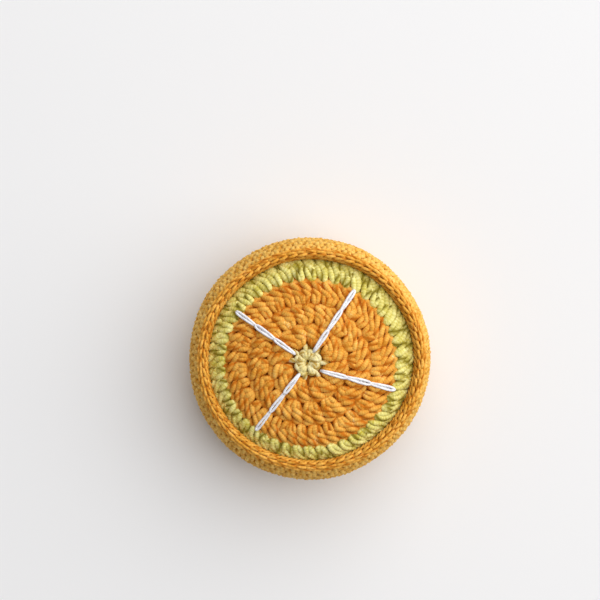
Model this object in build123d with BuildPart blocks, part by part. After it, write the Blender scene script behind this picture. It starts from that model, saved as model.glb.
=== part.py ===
from build123d import *
from math import asin, cos, degrees
import os

# A weighted pin cushion: a crocheted cotton cover shaped like half an orange, with a steel
# disc in its flat base and wadding above it. +Z is up, the origin is at the middle of the
# flat base, and every round of crochet is a closed ring about Z.

# Driving dimensions, mm.
overall_diameter = 60.0
overall_height = 30.0
fabric_thickness = 2.4        # one layer of crochet
round_crown = 0.3             # how far a round swells out between its two seams

base_flat_radius = 21.0       # where the base starts to turn up into the wall
base_round_count = 7
belly_height = 13.0           # height of the cover's widest place
wall_round_count = 11
shoulder_rise = 11.8          # the tall half-axis of the ellipse that the shoulder follows

rim_outer_radius = 26.9
rim_inner_radius = 24.7
rim_crest_height = 25.6
rim_foot_height = 24.4        # where the rim leaves the wall

face_edge_height = 23.4       # the face where it meets the rim, below the rim's crest
pith_inner_radius = 20.6
pulp_seam_radii = [14.6, 9.25]
rosette_radius = 3.9
dimple_radius = 1.2
dimple_depth = 0.8

line_width = 1.5              # a white line of doubled chain stitch
line_thickness = 0.8
line_lift = 0.02              # air between a line and the crowns that it lies on
line_end_radius = 0.6
# The two ends of each white line: radius and angle at the pith, then beside the rosette.
line_ends = [
    (21.4, 147.0, 4.3, 147.0),
    (20.0, 57.0, 4.2, 62.0),
    (21.8, -20.0, 4.2, -33.0),
    (21.7, -127.5, 4.2, -128.0),
]

weight_radius = 20.0
weight_thickness = 8.0
weight_chamfer = 0.8

# Worked out from the driving dimensions.
belly_radius = overall_diameter / 2 - round_crown
shoulder_turn = asin((rim_foot_height - belly_height) / shoulder_rise)
shoulder_reach = (belly_radius - rim_outer_radius) / (1 - cos(shoulder_turn))
line_gap = round_crown + line_lift
face_top_height = overall_height - line_thickness - line_gap
weight_top_height = fabric_thickness + weight_thickness

os.makedirs("parts", exist_ok=True)


def save(name, piece):
    """Label a finished piece and write it as its own file."""
    piece.part.label = name
    export_step(piece.part, f"parts/{name}.step")


def seam(line, share):
    """The outer and the inner end of the seam that lies a share of the way along a line."""
    outer = line @ share
    along = line % share
    return outer, outer + Vector(-along.Y, along.X) * fabric_thickness


def face_height(radius):
    """The height of the face's seams at a radius, on its gentle dome."""
    dome_radius = face_edge.radius
    return face_top_height - dome_radius + (dome_radius**2 - radius**2) ** 0.5


def face_seam(radius):
    """The outer and the inner end of a seam in the face."""
    outer = Vector(radius, face_height(radius))
    return outer, outer - Vector(0, fabric_thickness)


def turned(name, *outline):
    """A solid turned about Z from a closed outline of radius and height."""
    with BuildPart() as piece:
        with BuildSketch(Plane.XZ):
            with BuildLine():
                Polyline(*outline, close=True)
            make_face()
        revolve(axis=Axis.Z)
    save(name, piece)


def crochet_round(name, start, end, crown):
    """A closed round of stitches between two seams; crown swells it to the left of start to end."""
    with BuildPart() as piece:
        with BuildSketch(Plane.XZ):
            with BuildLine():
                SagittaArc(start[0], end[0], crown)
                Polyline(end[0], end[1], start[1], start[0])
            make_face()
        revolve(axis=Axis.Z)
    save(name, piece)


# The cover's outer lines, in radius and height: up the wall and across the face.
with BuildLine() as wall_line:
    belly_reach = belly_radius - base_flat_radius
    EllipticalCenterArc((base_flat_radius, belly_height), belly_reach, belly_height, 270, arc_size=90)
    shoulder_middle = (belly_radius - shoulder_reach, belly_height)
    EllipticalCenterArc(shoulder_middle, shoulder_reach, shoulder_rise, 0, arc_size=degrees(shoulder_turn))
with BuildLine() as face_line:
    TangentArc((0, face_top_height), (rim_inner_radius, face_edge_height), tangent=(1, 0))
wall_edge = wall_line.wires()[0]
face_edge = face_line.edges()[0]

# The flat base, worked outwards: its first round is a small disc and the rest are rings.
base_step = base_flat_radius / base_round_count
for n in range(base_round_count):
    near, far = n * base_step, (n + 1) * base_step
    lower_edge = [(near, 0), (far, 0)]
    upper_edge = [(far, fabric_thickness), (near, fabric_thickness)]
    turned(f"base_round_{n + 1}", *lower_edge, *upper_edge)

# The wall, worked up from the base's edge, round the belly and in to the rim.
face_rim_seam = face_seam(rim_inner_radius)
wall_seams = [seam(wall_edge, n / wall_round_count) for n in range(wall_round_count)]
wall_seams.append((Vector(rim_outer_radius, rim_foot_height), face_rim_seam[1]))
for n in range(wall_round_count):
    crochet_round(f"wall_round_{n + 1:02d}", wall_seams[n], wall_seams[n + 1], -round_crown)

# The rim, a chain that joins the face to the wall and stands proud of both.
with BuildPart() as rim_chain:
    with BuildSketch(Plane.XZ):
        with BuildLine():
            rim_foot, rim_root = wall_seams[-1]
            rim_shoulder = Vector(rim_inner_radius, rim_foot_height)
            rim_crest = Vector((rim_outer_radius + rim_inner_radius) / 2, rim_crest_height)
            ThreePointArc(rim_foot, rim_crest, rim_shoulder)
            Polyline(rim_shoulder, rim_root, rim_foot)
        make_face()
    revolve(axis=Axis.Z)
save("rim_chain", rim_chain)

# The face: the green pith inside the rim, then three rounds of orange pulp.
face_seams = [face_seam(radius) for radius in [rosette_radius, *reversed(pulp_seam_radii), pith_inner_radius]]
for n in range(len(face_seams) - 1):
    crochet_round(f"pulp_round_{n + 1}", face_seams[n], face_seams[n + 1], round_crown)
crochet_round("pith_round", face_seams[-1], face_rim_seam, round_crown)

# The pale rosette in the middle of the face, with a dimple where its ring is drawn shut.
with BuildPart() as centre_rosette:
    with BuildSketch(Plane.XZ):
        with BuildLine():
            rosette_edge, rosette_foot = face_seams[0]
            dimple_lip = Vector(dimple_radius, face_top_height)
            dimple_bottom = Vector(0, face_top_height - dimple_depth)
            SagittaArc(dimple_lip, rosette_edge, round_crown)
            Polyline(rosette_edge, rosette_foot, (0, rosette_foot.Y), dimple_bottom, dimple_lip)
        make_face()
    revolve(axis=Axis.Z)
save("centre_rosette", centre_rosette)

# Four white lines of chain stitch that part the pulp into segments, each a thin strip bent
# over the dome, lying on the crowns of the rounds.
for n, (pith_radius, pith_angle, centre_radius, centre_angle) in enumerate(line_ends):
    pith_end = Vector(pith_radius, 0).rotate(Axis.Z, pith_angle)
    centre_end = Vector(centre_radius, 0).rotate(Axis.Z, centre_angle)
    run = pith_end - centre_end
    strip_plane = Plane(origin=centre_end, x_dir=run, z_dir=run.cross(Vector(0, 0, 1)))
    under = []
    for share in (0, 0.5, 1):
        place = centre_end + run * share
        under.append(Vector(run.length * share, face_height(place.length) + line_gap))
    over = [point + Vector(0, line_thickness) for point in under]
    with BuildPart() as segment_line:
        with BuildSketch(strip_plane):
            with BuildLine():
                ThreePointArc(*under)
                ThreePointArc(*over)
                Line(under[0], over[0])
                Line(under[2], over[2])
            make_face()
        extrude(amount=line_width / 2, both=True)
        fillet(segment_line.edges().filter_by(Axis.Z), radius=line_end_radius)
    save(f"segment_line_{n + 1}", segment_line)

# The steel disc that weighs the cushion down, lying on the base.
with BuildPart() as steel_weight:
    with BuildSketch(Plane.XY.offset(fabric_thickness)):
        Circle(weight_radius)
    extrude(amount=weight_thickness)
    chamfer(steel_weight.edges(), length=weight_chamfer)
save("steel_weight", steel_weight)

# Two wads of fibre: one packed round the weight, and one above it for the pins. They part at
# the first seam of the wall that is higher than the weight.
inside_wall = [inner for outer, inner in wall_seams]
beside_weight = [point for point in inside_wall if point.Y < weight_top_height]
parting = inside_wall[len(beside_weight)]
above_weight = inside_wall[len(beside_weight) + 1:]
under_face = [inner for outer, inner in reversed(face_seams)]
weight_foot = Vector(weight_radius, fabric_thickness)
weight_shoulder = Vector(weight_radius, weight_top_height)
turned("side_wadding", weight_foot, *beside_weight, parting, weight_shoulder)
middle_line = [(0, under_face[-1].Y), (0, weight_top_height)]
turned("pin_wadding", weight_shoulder, parting, *above_weight, *under_face, *middle_line)
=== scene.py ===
from math import asin, cos, pi, sin, sqrt, tau
from random import Random

import bmesh
import bpy
import numpy as np
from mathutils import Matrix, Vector


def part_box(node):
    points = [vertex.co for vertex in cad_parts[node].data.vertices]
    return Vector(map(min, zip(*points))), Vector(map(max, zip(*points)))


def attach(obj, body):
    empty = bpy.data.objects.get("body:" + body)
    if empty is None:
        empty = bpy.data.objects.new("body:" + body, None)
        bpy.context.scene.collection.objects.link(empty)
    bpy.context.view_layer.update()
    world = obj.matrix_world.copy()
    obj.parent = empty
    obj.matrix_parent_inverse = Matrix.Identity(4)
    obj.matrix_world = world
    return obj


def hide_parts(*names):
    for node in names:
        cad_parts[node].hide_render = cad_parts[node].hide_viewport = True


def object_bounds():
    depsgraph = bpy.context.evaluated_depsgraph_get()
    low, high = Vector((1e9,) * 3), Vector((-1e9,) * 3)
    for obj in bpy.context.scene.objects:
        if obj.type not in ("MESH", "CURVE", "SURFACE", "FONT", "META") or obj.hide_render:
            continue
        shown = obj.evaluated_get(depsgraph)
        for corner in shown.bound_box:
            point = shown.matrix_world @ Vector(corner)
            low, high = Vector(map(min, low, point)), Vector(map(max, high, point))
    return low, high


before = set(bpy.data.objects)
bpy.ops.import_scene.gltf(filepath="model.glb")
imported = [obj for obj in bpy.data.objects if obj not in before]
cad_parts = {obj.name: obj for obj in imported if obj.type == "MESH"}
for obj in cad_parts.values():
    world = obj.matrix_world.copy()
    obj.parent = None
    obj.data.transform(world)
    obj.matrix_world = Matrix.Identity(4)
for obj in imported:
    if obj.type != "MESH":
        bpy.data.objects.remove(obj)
cad_low, cad_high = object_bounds()

# ---- The flat base -------------------------------------------------------------------------
# Seven rounds of single crochet in golden orange cotton, worked outwards from a drawn-up ring,
# six more stitches in each round. It is where the work starts, and what the cushion stands on.
MM = 0.001
crown = 0.25 * MM             # how far the yarn stands out past the seams between rounds
fabric_thickness = 2.4 * MM
belly_height = 13 * MM
base_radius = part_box("base_round_7")[1].x
belly_radius = cad_high.x - crown
rim_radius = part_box("rim_chain")[1].x
rim_foot_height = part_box("wall_round_11")[1].z
rim_crest_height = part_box("rim_chain")[1].z
face_edge_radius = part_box("pith_round")[1].x

# The line that the base and the wall follow, in radius and height: flat, round a quarter of an
# ellipse to the belly, and round a narrower one to the rim. Travel is the distance along it.
shoulder_rise = 11.8 * MM
shoulder_turn = asin((rim_foot_height - belly_height) / shoulder_rise)
shoulder_reach = (belly_radius - rim_radius) / (1 - cos(shoulder_turn))
quarter = np.linspace(-pi / 2, 0, 60)
shoulder = np.linspace(0, shoulder_turn, 60)[1:]
line_radii = np.concatenate([
    [0, base_radius / 2],
    base_radius + (belly_radius - base_radius) * np.cos(quarter),
    belly_radius - shoulder_reach * (1 - np.cos(shoulder)),
])
line_heights = np.concatenate([
    [0, 0],
    belly_height * (1 + np.sin(quarter)),
    belly_height + shoulder_rise * np.sin(shoulder),
])
line_travel = np.concatenate([[0], np.cumsum(np.hypot(np.diff(line_radii), np.diff(line_heights)))])


def settle(radius, height, angle):
    """Where a place of the round cover lies once it is stuffed: slightly oval, with soft dents."""
    up = min(max((height - belly_height) / (rim_foot_height - belly_height), 0), 1)
    dents = 0.10 * sin(3 * angle + 0.6) + 0.08 * sin(5 * angle + 2.1) + 0.05 * sin(8 * angle)
    long_way = 0.06 - 0.18 * (1 - up) * cos(2 * angle)
    flat = (0.3 + 0.2 * up) * max(cos(angle - 2.3), 0) ** 12
    out = radius + (dents + long_way - flat) * MM * radius / belly_radius
    oval = 0.0125 * up
    share = (radius / face_edge_radius) ** 2
    middle = up * max(1 - share, 0)
    wave = 0.16 * sin(2 * angle + 1.0) + 0.10 * sin(5 * angle + 0.4)
    aside = 0.2 * up - 0.3 * (1 - up) * radius / belly_radius - 0.9 * middle
    x = out * cos(angle) * (1 + oval) + aside * MM
    y = out * sin(angle) * (1 - oval) - (0.6 + 3.4 * share) * middle * MM
    return Vector((x, y, height + up * wave * MM * radius / belly_radius))


def on_wall(angle, travel, lift):
    """A place on the base or the wall, lifted off its line."""
    travel = min(max(travel, 0), line_travel[-1])
    at = [travel - 0.2 * MM, travel, travel + 0.2 * MM]
    radii = np.interp(at, line_travel, line_radii)
    heights = np.interp(at, line_travel, line_heights)
    run_out = radii[2] - radii[0]
    run_up = heights[2] - heights[0]
    run = sqrt(run_out**2 + run_up**2)
    return settle(radii[1] + lift * run_up / run, heights[1] - lift * run_out / run, angle)


def yarn_section(name, radius, plies, groove):
    """The outline across a plied yarn: a point on the crest of each ply and one in each groove."""
    outline = bpy.data.curves.new(name, "CURVE")
    ring = outline.splines.new("POLY")
    ring.points.add(2 * plies - 1)
    for n, point in enumerate(ring.points):
        turn = -tau * n / (2 * plies)
        reach = radius * (1 - groove if n % 2 == 0 else 1)
        point.co = (reach * cos(turn), reach * sin(turn), 0, 1)
    ring.use_cyclic_u = True
    section = bpy.data.objects.new(name, outline)
    bpy.context.collection.objects.link(section)
    return section


class Crochet:
    """The yarn of one piece: strands laid one by one, then spun into a mesh."""

    def __init__(self, name, section, lay, seed, steps=2):
        self.name = name
        self.section = section
        self.lay = lay
        self.chance = Random(seed)
        self.line = bpy.data.curves.new(name, "CURVE")
        self.line.dimensions = "3D"
        self.line.bevel_mode = "OBJECT"
        self.line.bevel_object = section
        self.line.use_fill_caps = True
        self.line.resolution_u = steps

    def strand(self, places, thickness=1.0):
        """Lay a strand through the places, its plies turning once in each lay of its length."""
        spline = self.line.splines.new("NURBS")
        spline.points.add(len(places) - 1)
        turn = self.chance.uniform(0, tau)
        before = places[0]
        for point, place in zip(spline.points, places):
            turn += tau * (place - before).length / self.lay
            point.co = (*place, 1)
            point.tilt = turn
            point.radius = thickness
            before = place
        spline.order_u = 4
        spline.use_endpoint_u = True

    def loose(self, amount):
        """A small chance offset, as no two stitches are pulled equally tight."""
        return self.chance.uniform(-amount, amount)

    def work(self, backing, floor=None):
        """Spin the strands into a mesh, with a closed ring behind them for the backs of the stitches."""
        yarn = bpy.data.objects.new(self.name, self.line)
        bpy.context.collection.objects.link(yarn)
        ready = bpy.context.evaluated_depsgraph_get()
        spun = bpy.data.meshes.new_from_object(yarn.evaluated_get(ready))
        shape = bmesh.new()
        shape.from_mesh(spun)
        bmesh.ops.remove_doubles(shape, verts=shape.verts, dist=1e-7)
        # The ring stands for the backs of the stitches. It has no UVs of its own, so the cotton paints it
        # wholly in its painted shade colour.
        if backing:
            corners = [shape.verts.new(place) for place in backing]
            edges = [shape.edges.new((corners[n - 1], corners[n])) for n in range(len(corners))]
            bmesh.ops.spin(shape, geom=corners + edges, cent=(0, 0, 0), axis=(0, 0, 1), angle=tau,
                           steps=72, use_merge=True, use_duplicate=False)
        if floor is not None:
            for vert in shape.verts:
                vert.co.z = max(vert.co.z, floor)
        for face in shape.faces:
            face.smooth = True
        mesh = bpy.data.meshes.new(self.name)
        shape.to_mesh(mesh)
        shape.free()
        bpy.data.objects.remove(yarn)
        bpy.data.meshes.remove(spun)
        piece = bpy.data.objects.new(self.name, mesh)
        bpy.context.collection.objects.link(piece)
        return piece


class Shade:
    """A number that varies over a surface: what a node gives, ready to take part in sums."""

    def __init__(self, finish, socket):
        self.finish = finish
        self.socket = socket

    def sum(self, operation, *values):
        return self.finish.node("Math", {"operation": operation}, dict(enumerate(values)))

    def __add__(self, other):
        return self.sum("ADD", self, other)

    def __mul__(self, other):
        return self.sum("MULTIPLY", self, other)

    def __sub__(self, other):
        return self.sum("SUBTRACT", self, other)

    def __rsub__(self, other):
        return self.sum("SUBTRACT", other, self)

    __radd__ = __add__
    __rmul__ = __mul__


class Finish:
    """A material made of nodes, with one shader that its sockets and sums feed."""

    def __init__(self, name):
        self.material = bpy.data.materials.new(name)
        self.material.use_nodes = True
        self.tree = self.material.node_tree
        self.shader = self.tree.nodes["Principled BSDF"]

    def fill(self, node, values):
        for socket, value in values.items():
            if isinstance(value, Shade):
                self.tree.links.new(value.socket, node.inputs[socket])
            else:
                node.inputs[socket].default_value = value

    def node(self, kind, settings, values, output=0):
        """Add a node of any kind, set it up, feed it, and give one of its outputs."""
        node = self.tree.nodes.new("ShaderNode" + kind)
        for name, setting in settings.items():
            if name == "stops":
                ramp = node.color_ramp.elements
                ends = {0: ramp[0], len(setting) - 1: ramp[-1]}
                for n, (position, colour) in enumerate(setting):
                    stop = ends.get(n) or ramp.new(position)
                    stop.position = position
                    stop.color = (*colour, 1)
            else:
                setattr(node, name, setting)
        self.fill(node, values)
        return Shade(self, node.outputs[output])

    def surface(self, **values):
        """Feed the shader; spaces in its sockets' names are written as underscores."""
        self.fill(self.shader, {name.replace("_", " "): value for name, value in values.items()})
        return self.material


def cotton(name, plies, deep, shadow, middle, light, seed):
    """Plied cotton: plies with fibres along them, tone that wanders from stitch to stitch, a little
    painted shade in the grooves between the plies, and painted shade, deeper and redder, towards
    the ends of a strand, where it dives between its neighbours."""
    finish = Finish(name)
    weave = finish.node("UVMap", {"uv_map": "UVMap"}, {})
    around = finish.node("SeparateXYZ", {}, {0: weave}, output=0)
    along = finish.node("SeparateXYZ", {}, {0: weave}, output=1)
    turn = around * tau
    fibre_place = finish.node("CombineXYZ", {}, {
        0: turn.sum("COSINE", turn) * 6 + seed,
        1: turn.sum("SINE", turn) * 6,
        2: along * 5,
    })
    place = finish.node("TexCoord", {}, {}, output=3)
    fibre = finish.node("TexNoise", {}, {"Vector": fibre_place, "Scale": 1.3, "Detail": 3.0})
    wander = finish.node("TexNoise", {}, {"Vector": place, "Scale": 420.0, "Detail": 1.0})
    nap = finish.node("TexNoise", {}, {"Vector": place, "Scale": 5200.0, "Detail": 2.0})
    groove = turn.sum("COSINE", turn * plies)
    # The groove term is painted shade: the tone is a little darker in the grooves between the plies.
    tone = fibre * 0.5 + wander * 0.5 - groove * 0.05
    stops = [(0.34, shadow), (0.5, middle), (0.66, light)]
    colour = finish.node("ValToRGB", {"stops": stops}, {0: tone})
    # Painted shade: over roughly the last fifth of a strand at each end, where it dives under its neighbours,
    # the colour turns to the deep shade colour. The backing rings, which have no UVs of their own, take it
    # throughout.
    from_end = 0.5 - along.sum("ABSOLUTE", along - 0.5)
    shown = from_end.sum("SMOOTH_MIN", from_end * 5.5 - 0.1, 1, 0.4)
    colour = finish.node("Mix", {"data_type": "RGBA", "clamp_factor": True},
                         {0: shown, 6: (*deep, 1), 7: colour}, output=2)
    relief = {"Height": fibre * 0.7 + nap * 0.3, "Strength": 0.5, "Distance": 0.12 * MM}
    bump = finish.node("Bump", {}, relief)
    return finish.surface(
        Base_Color=colour,
        Roughness=fibre * 0.2 + 0.62,
        Normal=bump,
        Sheen_Weight=0.1,
        Sheen_Roughness=0.5,
        Sheen_Tint=(*light, 1),
        Specular_IOR_Level=0.18,
    )


rind_plies = 4
rind_section = yarn_section("rind_yarn_section", 0.66 * MM, rind_plies, 0.12)
# Its first colour is painted shade, for the ends of strands and the rings behind the rounds.
rind_cotton = cotton("golden orange cotton", rind_plies, (0.64, 0.28, 0.02), (0.74, 0.39, 0.055),
                     (0.84, 0.48, 0.09), (0.93, 0.60, 0.16), 1.0)
yarn_lay = 6 * MM


def single_crochet(yarn, angle, width, start, height, lift, place):
    """One stitch seen from its right side: two legs that spread from a point, and the loop over them."""
    lean = yarn.loose(0.03)
    left = [(-0.08, -0.10, -1.10), (-0.12, 0.06, -0.40), (-0.18, 0.34, -0.08),
            (-0.20, 0.62, -0.12), (-0.22, 0.82, -0.40), (-0.24, 0.94, -1.00)]
    right = [(0.08, -0.10, -1.15), (0.12, 0.06, -0.44), (0.20, 0.32, -0.12),
             (0.23, 0.60, -0.16), (0.25, 0.82, -0.44), (0.27, 0.94, -1.00)]
    loop = [(-0.66, 0.90, -1.10), (-0.40, 0.97, -0.36), (0.02, 1.00, -0.14),
            (0.42, 0.97, -0.36), (0.66, 0.90, -1.10)]
    for route in (left, right, loop):
        shift = yarn.loose(0.025)
        rise = yarn.loose(0.06)
        yarn.strand([
            place(angle + (across + shift + lean * up) * width, start + up * height, (off + rise) * MM + lift)
            for across, up, off in route
        ])


base_rounds = 7
base_step = base_radius / base_rounds
base_lift = -0.48 * MM        # keeps the yarn's crests level with the table
backing_height = 1.6 * MM     # where the backs of the base's stitches begin
round_turn = 0.35             # how far each round's stitches start past those of the round before
for n in range(base_rounds):
    name = f"crochet_base_{n + 1}"
    yarn = Crochet(name, rind_section, yarn_lay, seed=n)
    stitches = 6 * (n + 1)
    width = tau / stitches
    for stitch in range(stitches):
        angle = (stitch + round_turn * n) * width
        single_crochet(yarn, angle, width, n * base_step, base_step, base_lift, on_wall)
    near = max(n * base_step, 0.02 * MM)
    far = (n + 1) * base_step
    under = backing_height
    over = fabric_thickness
    backing = [(near, 0, under), (far, 0, under), (far, 0, over), (near, 0, over)]
    piece = yarn.work(backing, floor=0)
    piece.data.materials.append(rind_cotton)
    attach(piece, "root")
    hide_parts(f"base_round_{n + 1}")

# ---- The wall ------------------------------------------------------------------------------
# Eleven rounds of single crochet in the same golden orange cotton. The first three still gain
# stitches, and then the rounds run straight up over the belly and draw in to the rim.
wall_stitches = [48, 54, 60, 66] + [68] * 7
wall_rounds = len(wall_stitches)
wall_step = (line_travel[-1] - base_radius) / wall_rounds


def band_behind(start, end, place):
    """The section of the closed ring behind a round, under its yarn and as deep as the crochet."""
    shallow = -1.1 * MM
    deep = -fabric_thickness
    corners = [(start, shallow), (end, shallow), (end, deep), (start, deep)]
    flat = [place(0, travel, lift) for travel, lift in corners]
    return [(sqrt(spot.x**2 + spot.y**2), 0, spot.z) for spot in flat]


for n in range(wall_rounds):
    yarn = Crochet(f"crochet_wall_{n + 1:02d}", rind_section, yarn_lay, seed=20 + n)
    width = tau / wall_stitches[n]
    start = base_radius + n * wall_step
    for stitch in range(wall_stitches[n]):
        angle = (stitch + round_turn * n) * width
        single_crochet(yarn, angle, width, start, wall_step, -0.05 * MM, on_wall)
    piece = yarn.work(band_behind(start, start + wall_step, on_wall), floor=0)
    piece.data.materials.append(rind_cotton)
    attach(piece, "root")
    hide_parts(f"wall_round_{n + 1:02d}")

# ---- The steel weight ----------------------------------------------------------------------
# A turned disc of plain steel that lies on the base and holds the cushion down on the cloth.
# It is dropped in before the wadding; its CAD node keeps its shape and gets a turned finish.
steel = Finish("turned steel")
spot = steel.node("TexCoord", {}, {}, output=3)
rings = steel.node("TexWave", {"wave_type": "RINGS", "rings_direction": "Z"},
                   {"Vector": spot, "Scale": 900.0, "Distortion": 0.6, "Detail": 2.0}, output=1)
grain = steel.node("TexNoise", {}, {"Vector": spot, "Scale": 260.0, "Detail": 4.0})
steel_bump = steel.node("Bump", {}, {"Height": rings, "Strength": 0.25, "Distance": 0.03 * MM})
steel_stops = [(0.3, (0.36, 0.37, 0.38)), (0.7, (0.60, 0.61, 0.62))]
steel_tone = steel.node("ValToRGB", {"stops": steel_stops}, {0: grain})
steel.surface(Base_Color=steel_tone, Metallic=1.0, Roughness=rings * 0.12 + 0.28, Normal=steel_bump)
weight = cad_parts["steel_weight"]
for slot in weight.material_slots:
    slot.material = steel.material

# ---- The wadding ---------------------------------------------------------------------------
# White polyester fibre, teased out and packed by hand: a collar round the weight, and the deep
# pad above it that takes the pins. Nothing fixes it; the closed cover holds it in.
fleece = Finish("white fibre wadding")
spot = fleece.node("TexCoord", {}, {}, output=3)
tufts = fleece.node("TexNoise", {}, {"Vector": spot, "Scale": 320.0, "Detail": 6.0, "Distortion": 1.5})
wisps = fleece.node("TexNoise", {}, {"Vector": spot, "Scale": 2400.0, "Detail": 4.0, "Distortion": 2.0})
fleece_stops = [(0.3, (0.72, 0.71, 0.68)), (0.7, (0.92, 0.91, 0.89))]
fleece_tone = fleece.node("ValToRGB", {"stops": fleece_stops}, {0: tufts * 0.6 + wisps * 0.4})
fleece_bump = fleece.node("Bump", {}, {"Height": tufts + wisps * 0.5, "Strength": 0.8, "Distance": 0.5 * MM})
fleece.surface(Base_Color=fleece_tone, Roughness=0.95, Normal=fleece_bump, Sheen_Weight=0.4)


def pack_wadding(name, node):
    """Turn a CAD wad into a lumpy, slightly smaller one, so that it clears the crochet round it."""
    shrink = 0.30 * MM
    lump_height = 0.12 * MM
    shape = bmesh.new()
    shape.from_mesh(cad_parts[node].data)
    bmesh.ops.remove_doubles(shape, verts=shape.verts, dist=1e-6)
    mesh = bpy.data.meshes.new(name)
    shape.to_mesh(mesh)
    shape.free()
    piece = bpy.data.objects.new(name, mesh)
    bpy.context.collection.objects.link(piece)
    even = piece.modifiers.new("even mesh", "REMESH")
    even.mode = "VOXEL"
    even.voxel_size = 0.9 * MM
    even.use_smooth_shade = True
    ready = bpy.context.evaluated_depsgraph_get()
    evened = bpy.data.meshes.new_from_object(piece.evaluated_get(ready))
    piece.modifiers.clear()
    shape = bmesh.new()
    shape.from_mesh(evened)
    shape.normal_update()
    lumps = Random(7)
    phases = [lumps.uniform(0, tau) for _ in range(6)]
    for vert in shape.verts:
        at = vert.co / MM
        lump = (sin(at.x * 0.9 + phases[0]) * sin(at.y * 0.8 + phases[1])
                + sin(at.z * 1.3 + phases[2]) * sin((at.x + at.y) * 0.55 + phases[3]))
        vert.co -= vert.normal * (shrink + lump_height * lump)
    bmesh.ops.smooth_vert(shape, verts=shape.verts, factor=0.5,
                          use_axis_x=True, use_axis_y=True, use_axis_z=True)
    shape.to_mesh(mesh)
    shape.free()
    bpy.data.meshes.remove(evened)
    for face in mesh.polygons:
        face.use_smooth = True
    mesh.materials.clear()
    mesh.materials.append(fleece.material)
    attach(piece, "root")
    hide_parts(node)
    return piece


collar = pack_wadding("fibre_collar", "side_wadding")
pad = pack_wadding("fibre_pad", "pin_wadding")

# ---- The rosette ---------------------------------------------------------------------------
# The face is worked apart, from its middle outwards. It starts as a ring of pale yellow cotton
# drawn up tight, with eight stitches in it. Pale strands reach out over the first orange ones.
rosette_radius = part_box("centre_rosette")[1].x
pulp_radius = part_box("pulp_round_3")[1].x
yarn_rise = 1.12 * MM         # how far the top of a stitch stands above the line that it follows
face_top_height = cad_high.z - yarn_rise
face_fall = face_top_height - (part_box("pith_round")[0].z + fabric_thickness)
dome_radius = (face_edge_radius**2 + face_fall**2) / (2 * face_fall)
edge_dive = 1.0 * MM


def on_face(angle, radius, lift):
    """A place on the face, which is a shallow dome that dives to the rim at its edge."""
    dive = edge_dive * (max(radius - pulp_radius, 0) / (face_edge_radius - pulp_radius)) ** 2
    height = face_top_height - dome_radius + sqrt(dome_radius**2 - radius**2) - dive
    return settle(radius, height + lift, angle)


rosette_plies = 5
rosette_section = yarn_section("rosette_yarn_section", 0.62 * MM, rosette_plies, 0.12)
# Its first colour is painted shade, for the ends of strands and the ring behind the rosette.
rosette_cotton = cotton("pale yellow cotton", rosette_plies, (0.46, 0.28, 0.04), (0.72, 0.58, 0.18),
                        (0.88, 0.76, 0.34), (0.96, 0.88, 0.55), 5.0)
rosette_stitches = 8
yarn = Crochet("crochet_rosette", rosette_section, 5 * MM, seed=40)
width = tau / rosette_stitches
for stitch in range(rosette_stitches):
    angle = (stitch + 0.5 + yarn.loose(0.12)) * width
    reach = rosette_radius * (0.93 + yarn.loose(0.06))
    spread = 0.15 + yarn.loose(0.03)
    hole = 0.04 + 0.05 * cos(2 * (angle - 1.3))
    left = [(-0.05, 0.19 + hole, -1.6), (-spread, 0.27 + hole, -0.50), (-spread, 0.42, 0.12),
            (-0.18, 0.58, 0.12), (-0.22, 0.70, -0.20), (-0.22, 0.80, -1.0)]
    right = [(across * -0.9, out + 0.01, off - 0.06) for across, out, off in left]
    head = [(-0.52, 0.60, -0.9), (-0.36, 0.72, -0.20), (-0.02, 0.84, 0.00), (0.30, 0.76, -0.10),
            (0.48, 0.66, -0.5), (0.56, 0.58, -1.2)]
    for route in (left, right, head):
        yarn.strand([
            on_face(angle + across * width, reach * out, (off + yarn.loose(0.06)) * MM)
            for across, out, off in route
        ])
# Where the ring was joined and where the colour changes, pale strands reach out over the orange.
for angle, far in ((-0.02, 4.8), (2.45, 5.0), (-1.75, 4.2), (0.9, 4.2), (-0.9, 4.4), (3.0, 4.6), (1.7, 4.3)):
    tip = [(0.55, -0.7), (0.68, -0.06), (0.84, -0.10), (0.94, -0.50), (1.00, -1.2)]
    yarn.strand([on_face(angle, far * out * MM, off * MM) for out, off in tip])
piece = yarn.work(band_behind(0.02 * MM, rosette_radius, on_face))
piece.data.materials.append(rosette_cotton)
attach(piece, "root")
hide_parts("centre_rosette")

# ---- The pulp ------------------------------------------------------------------------------
# Three rounds of half treble crochet in deep orange cotton. Each stitch shows two short fat legs
# that come out of one hole in the round before, and two strands wrapped aslant over their heads.
pulp_plies = 7
pulp_section = yarn_section("pulp_yarn_section", 0.74 * MM, pulp_plies, 0.16)
# Its first colour is painted shade, for the ends of strands and the rings behind the rounds.
pulp_cotton = cotton("deep orange cotton", pulp_plies, (0.58, 0.16, 0.003), (0.68, 0.26, 0.014),
                     (0.83, 0.38, 0.042), (0.97, 0.54, 0.11), 3.0)


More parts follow.
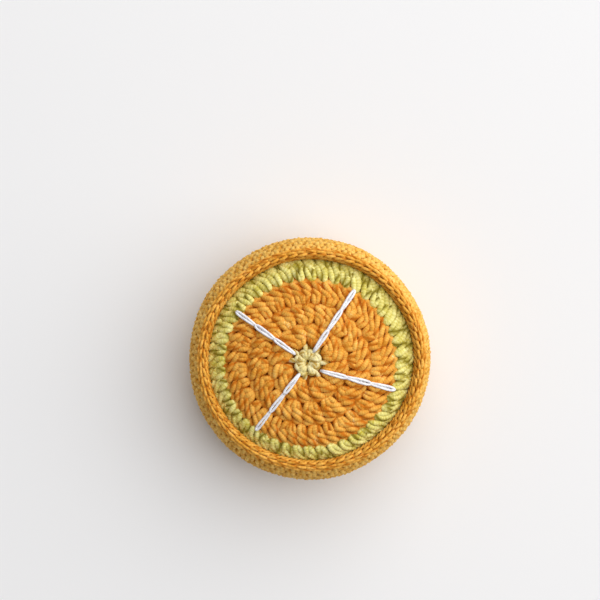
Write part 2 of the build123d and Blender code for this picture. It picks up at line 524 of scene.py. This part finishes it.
# A strand's route: how far across the stitch and out along it, in widths and heights, and its lift.
stitch_legs = [
    [(0.00, 0.04, -1.40), (-0.13, 0.10, -0.56), (-0.25, 0.23, 0.02),
     (-0.27, 0.36, -0.10), (-0.24, 0.50, -0.60), (-0.20, 0.60, -1.20)],
    [(0.02, 0.04, -1.45), (0.14, 0.10, -0.62), (0.26, 0.25, -0.04),
     (0.30, 0.37, -0.16), (0.28, 0.50, -0.62), (0.24, 0.60, -1.20)],
]
stitch_wraps = [
    [(0.52, 0.66, -1.20), (0.41, 0.62, -0.42), (0.14, 0.55, 0.04),
     (-0.16, 0.47, 0.06), (-0.38, 0.40, -0.36), (-0.48, 0.35, -1.10)],
    [(0.50, 0.93, -1.20), (0.40, 0.88, -0.42), (0.12, 0.80, 0.06),
     (-0.16, 0.70, 0.10), (-0.38, 0.61, -0.32), (-0.48, 0.56, -1.10)],
    [(-0.42, 0.86, -1.25), (-0.30, 0.95, -0.90), (0.00, 1.02, -0.76),
     (0.30, 0.95, -0.90), (0.42, 0.86, -1.25)],
]


def tall_stitch(yarn, routes, root, head, width, start, height, fullness=1.0):
    """One tall stitch from its root in one round to its head in the next, as full as it is wide."""
    for route in routes:
        shift = yarn.loose(0.03)
        rise = yarn.loose(0.08)
        places = []
        for across, out, off in route:
            share = min(max(out / 0.7, 0), 1)
            middle = root + (head - root) * share * share * (3 - 2 * share)
            places.append(on_face(middle + (across + shift) * width, start + out * height, (off + rise) * MM))
        out = start + route[len(route) // 2][1] * height
        yarn.strand(places, fullness * sqrt(width * out / full_width))


# How many stitches each round works into each hole of the round before, taken in turn.
into_holes = [(2,), (2,), (2, 1)]
full_width = 2.3 * MM         # the width of a stitch at which its yarn is neither stretched nor crowded
pulp_lean = 0.14
holes = [(n + 0.5) * tau / rosette_stitches for n in range(rosette_stitches)]
inner = rosette_radius
for n, pattern in enumerate(into_holes):
    node = f"pulp_round_{n + 1}"
    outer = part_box(node)[1].x
    yarn = Crochet(f"crochet_pulp_{n + 1}", pulp_section, yarn_lay, seed=50 + n)
    roots = [hole for k, hole in enumerate(holes) for _ in range(pattern[k % len(pattern)])]
    width = tau / len(roots)
    shift = sum(root - k * width for k, root in enumerate(roots)) / len(roots)
    heads = [shift + (k + pulp_lean) * width for k in range(len(roots))]
    for k, (root, head) in enumerate(zip(roots, heads)):
        side = 0.22 * (1 if k and roots[k - 1] == root else -1 if roots[(k + 1) % len(roots)] == root else 0)
        head += yarn.loose(0.05) * width
        tall_stitch(yarn, stitch_legs + stitch_wraps, root + side * width, head, width, inner, outer - inner)
    piece = yarn.work(band_behind(inner, outer, on_face))
    piece.data.materials.append(pulp_cotton)
    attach(piece, "root")
    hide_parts(node)
    inner = outer
    holes = [head + 0.5 * width for head in heads]

# ---- The pith ------------------------------------------------------------------------------
# One round of the same stitch in yellow-green cotton, packed tight, so that each stitch is a fat
# leaf with a bright pointed tip. The end of its yarn is sewn in at the lower left.
# Its first colour is painted shade, for the ends of strands and the ring behind the round.
pith_cotton = cotton("yellow green cotton", pulp_plies, (0.24, 0.18, 0.005), (0.56, 0.46, 0.035),
                     (0.84, 0.70, 0.12), (0.99, 0.92, 0.36), 7.0)
yarn = Crochet("crochet_pith", pulp_section, yarn_lay, seed=60)
width = tau / len(holes)
pith_inner = inner
pith_lean = 0.38
pith_fullness = 0.95
pith_depth = (face_edge_radius - pith_inner) * 1.02
leaf = [
    [(-0.05, -0.06, -1.30), (-0.09, 0.02, -0.36), (-0.22, 0.24, 0.06),
     (-0.22, 0.46, 0.00), (-0.16, 0.66, -0.30), (-0.10, 0.80, -0.95)],
    [(0.06, -0.06, -1.35), (0.12, 0.03, -0.42), (0.24, 0.26, 0.00),
     (0.32, 0.48, -0.06), (0.38, 0.68, -0.36), (0.42, 0.80, -0.95)],
    [(0.56, 0.98, -1.10), (0.44, 0.92, -0.40), (0.18, 0.80, 0.02),
     (-0.14, 0.62, 0.06), (-0.40, 0.46, -0.26), (-0.54, 0.34, -0.95)],
    [(0.46, 1.12, -1.20), (0.34, 1.06, -0.60), (0.04, 0.98, -0.24),
     (-0.30, 0.84, -0.16), (-0.48, 0.72, -0.50), (-0.56, 0.62, -1.10)],
]
for hole in holes:
    head = hole + (pith_lean + yarn.loose(0.06)) * width
    tall_stitch(yarn, leaf, hole, head, width, pith_inner, pith_depth, pith_fullness)
# The sewn-in end: angle in radians, radius and lift in millimetres.
tail = [(-2.17, 21.2, -1.0), (-2.13, 21.8, 0.2), (-2.08, 22.2, 0.45), (-2.02, 22.2, 0.2), (-1.98, 22.0, -1.0)]
yarn.strand([on_face(angle, radius * MM, lift * MM) for angle, radius, lift in tail], 0.8)
piece = yarn.work(band_behind(pith_inner, face_edge_radius, on_face))
piece.data.materials.append(pith_cotton)
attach(piece, "root")
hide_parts("pith_round")

# ---- The rim -------------------------------------------------------------------------------
# A chain of orange cotton, worked through the edges of the face and the wall together. It joins
# them and stands proud: slanting links with an eye in each, which run right round.
rim_plies = 4
# Its first colour is painted shade, for the ends of strands and the ring behind the chain.
rim_cotton = cotton("orange cotton", rim_plies, (0.52, 0.16, 0.004), (0.68, 0.29, 0.018),
                    (0.84, 0.40, 0.045), (0.95, 0.52, 0.10), 9.0)
rim_section = yarn_section("rim_yarn_section", 0.40 * MM, rim_plies, 0.12)
rim_links = 70
rim_middle = rim_radius - 0.7 * MM
chain_height = rim_crest_height - 0.40 * MM
yarn = Crochet("crochet_rim", rim_section, 4.5 * MM, seed=70)
width = tau / rim_links
# Routes along the rim: how far along a link, how far out from the chain's middle, and the lift.
rim_strands = [
    [(-0.14, 0.12, -0.95), (0.02, 0.02, -0.20), (0.34, -0.26, 0.10),
     (0.66, -0.38, 0.04), (0.90, -0.44, -0.30), (1.02, -0.44, -1.00)],
    [(-0.16, 0.34, -1.00), (0.04, 0.48, -0.30), (0.34, 0.58, -0.08),
     (0.70, 0.58, -0.10), (0.98, 0.48, -0.28), (1.10, 0.34, -0.90)],
    [(-0.24, -0.46, -0.66), (0.02, -0.72, -0.90), (0.26, -0.94, -1.35),
     (0.46, -1.06, -1.95), (0.58, -1.08, -2.70)],
    [(0.26, -0.50, -0.78), (0.52, -0.76, -1.02), (0.76, -0.96, -1.46),
     (0.96, -1.08, -2.05), (1.08, -1.10, -2.80)],
    [(-0.68, 0.90, -1.50), (-0.38, 1.14, -0.84), (0.02, 1.22, -0.68),
     (0.42, 1.14, -0.84), (0.72, 0.90, -1.50)],
]
for link in range(rim_links):
    angle = (link + yarn.loose(0.05)) * width
    for route in rim_strands:
        out_more = yarn.loose(0.03)
        yarn.strand([
            settle(rim_middle + (out + out_more) * MM, chain_height + (off + yarn.loose(0.04)) * MM,
                   angle + along * width)
            for along, out, off in route
        ])
rim_foot = rim_foot_height - 0.2 * MM
backing = [
    (face_edge_radius + 1.1 * MM, 0, rim_foot - 0.4 * MM),
    (rim_radius - 0.4 * MM, 0, rim_foot + 0.1 * MM),
    (rim_radius - 0.6 * MM, 0, rim_foot - 1.2 * MM),
    (face_edge_radius + 0.5 * MM, 0, rim_foot - 2.6 * MM),
]
piece = yarn.work(backing)
piece.data.materials.append(rim_cotton)
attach(piece, "root")
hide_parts("rim_chain")

# ---- The white lines -----------------------------------------------------------------------
# Four lines of chain stitch in doubled white thread, sewn over the finished face from the
# rosette out to the pith. Each link is long and thin, with a slit down its middle.
thread_plies = 3
thread_section = yarn_section("thread_section", 0.32 * MM, thread_plies, 0.10)
# Its first colour, a grey violet, is painted shade where the thread's strands dive at the ends of the links.
thread_cotton = cotton("white cotton thread", thread_plies, (0.74, 0.72, 0.78), (0.86, 0.86, 0.90),
                       (0.93, 0.93, 0.95), (0.97, 0.97, 0.98), 11.0)
links = 3
# The two ends of each line in millimetres, by the rosette and at the pith.
line_ends = [((-4.0, 1.6), (-18.0, 11.6)), ((1.0, 2.2), (10.8, 16.8)),
             ((2.9, -2.8), (20.6, -7.4)), ((-2.8, -3.7), (-13.2, -17.2))]
for n, (near_end, far_end) in enumerate(line_ends):
    yarn = Crochet(f"white_line_{n + 1}", thread_section, 3.2 * MM, seed=80 + n, steps=3)
    near_end = Vector(near_end) * MM
    far_end = Vector(far_end) * MM
    run = far_end - near_end
    aside = Vector((-run.y, run.x)).normalized() * MM
    step = 1 / links
    half = [(-0.05, 0.08, 0.20), (0.06, 0.20, 0.74), (0.34, 0.32, 0.90),
            (0.74, 0.44, 0.94), (0.97, 0.30, 0.98)]
    core = [(-0.08, 0.02, 0.20), (0.18, 0.0, 0.72), (0.50, 0.0, 0.66), (0.90, 0.0, 0.40)]
    for link in range(links):
        loop = half + [(1.02, 0.0, 1.02)] + [(along, -across, lift) for along, across, lift in reversed(half)]
        wide = 1 + yarn.loose(0.15)
        for route in (loop, core):
            places = []
            for along, across, lift in route:
                flat = near_end + run * (link + along) * step + aside * across * wide
                top = on_face(0, flat.length, lift * MM).z
                places.append(Vector((flat.x, flat.y, top)))
            yarn.strand(places)
    piece = yarn.work(None)
    piece.data.materials.append(thread_cotton)
    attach(piece, "root")
    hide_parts(f"segment_line_{n + 1}")

for section in (rind_section, rosette_section, pulp_section, rim_section, thread_section):
    bpy.data.objects.remove(section)

# ---- The studio ----------------------------------------------------------------------------
# A plain pale floor, one large soft lamp from the upper right, and a pale room all round.
paper = Finish("pale paper")
paper.surface(Base_Color=(0.88, 0.88, 0.89, 1), Roughness=0.9)
floor_shape = bmesh.new()
bmesh.ops.create_grid(floor_shape, x_segments=1, y_segments=1, size=1.5)
floor_mesh = bpy.data.meshes.new("floor")
floor_shape.to_mesh(floor_mesh)
floor_shape.free()
floor_mesh.materials.append(paper.material)
floor = bpy.data.objects.new("floor", floor_mesh)
bpy.context.collection.objects.link(floor)


def soft_lamp(name, place, size, power, colour):
    """A square area lamp that faces the middle of the face."""
    lamp = bpy.data.lights.new(name, "AREA")
    lamp.shape = "SQUARE"
    lamp.size = size
    lamp.energy = power
    lamp.color = colour
    holder = bpy.data.objects.new(name, lamp)
    holder.location = place
    aim = Vector((0, 0, face_top_height)) - holder.location
    holder.rotation_euler = aim.to_track_quat("-Z", "Y").to_euler()
    bpy.context.collection.objects.link(holder)


soft_lamp("key_lamp", place=Vector((0.61, 0.43, 0.67)), size=2.2, power=28.0, colour=(1.0, 0.985, 0.97))
room = bpy.data.worlds.new("room")
room.use_nodes = True
room_light = room.node_tree.nodes["Background"]
room_light.inputs["Color"].default_value = (0.96, 0.98, 1.0, 1)
room_light.inputs["Strength"].default_value = 0.28
bpy.context.scene.world = room
bpy.context.scene.view_settings.view_transform = "Standard"

lens_data = bpy.data.cameras.new("camera")
lens_data.sensor_width = 36
lens_data.lens = 134.4
camera = bpy.data.objects.new("camera", lens_data)
camera_distance = 560 * MM     # above the widest place of the wall
camera.location = (-2.5 * MM, 14.5 * MM, belly_height + camera_distance)
bpy.context.collection.objects.link(camera)
bpy.context.scene.camera = camera
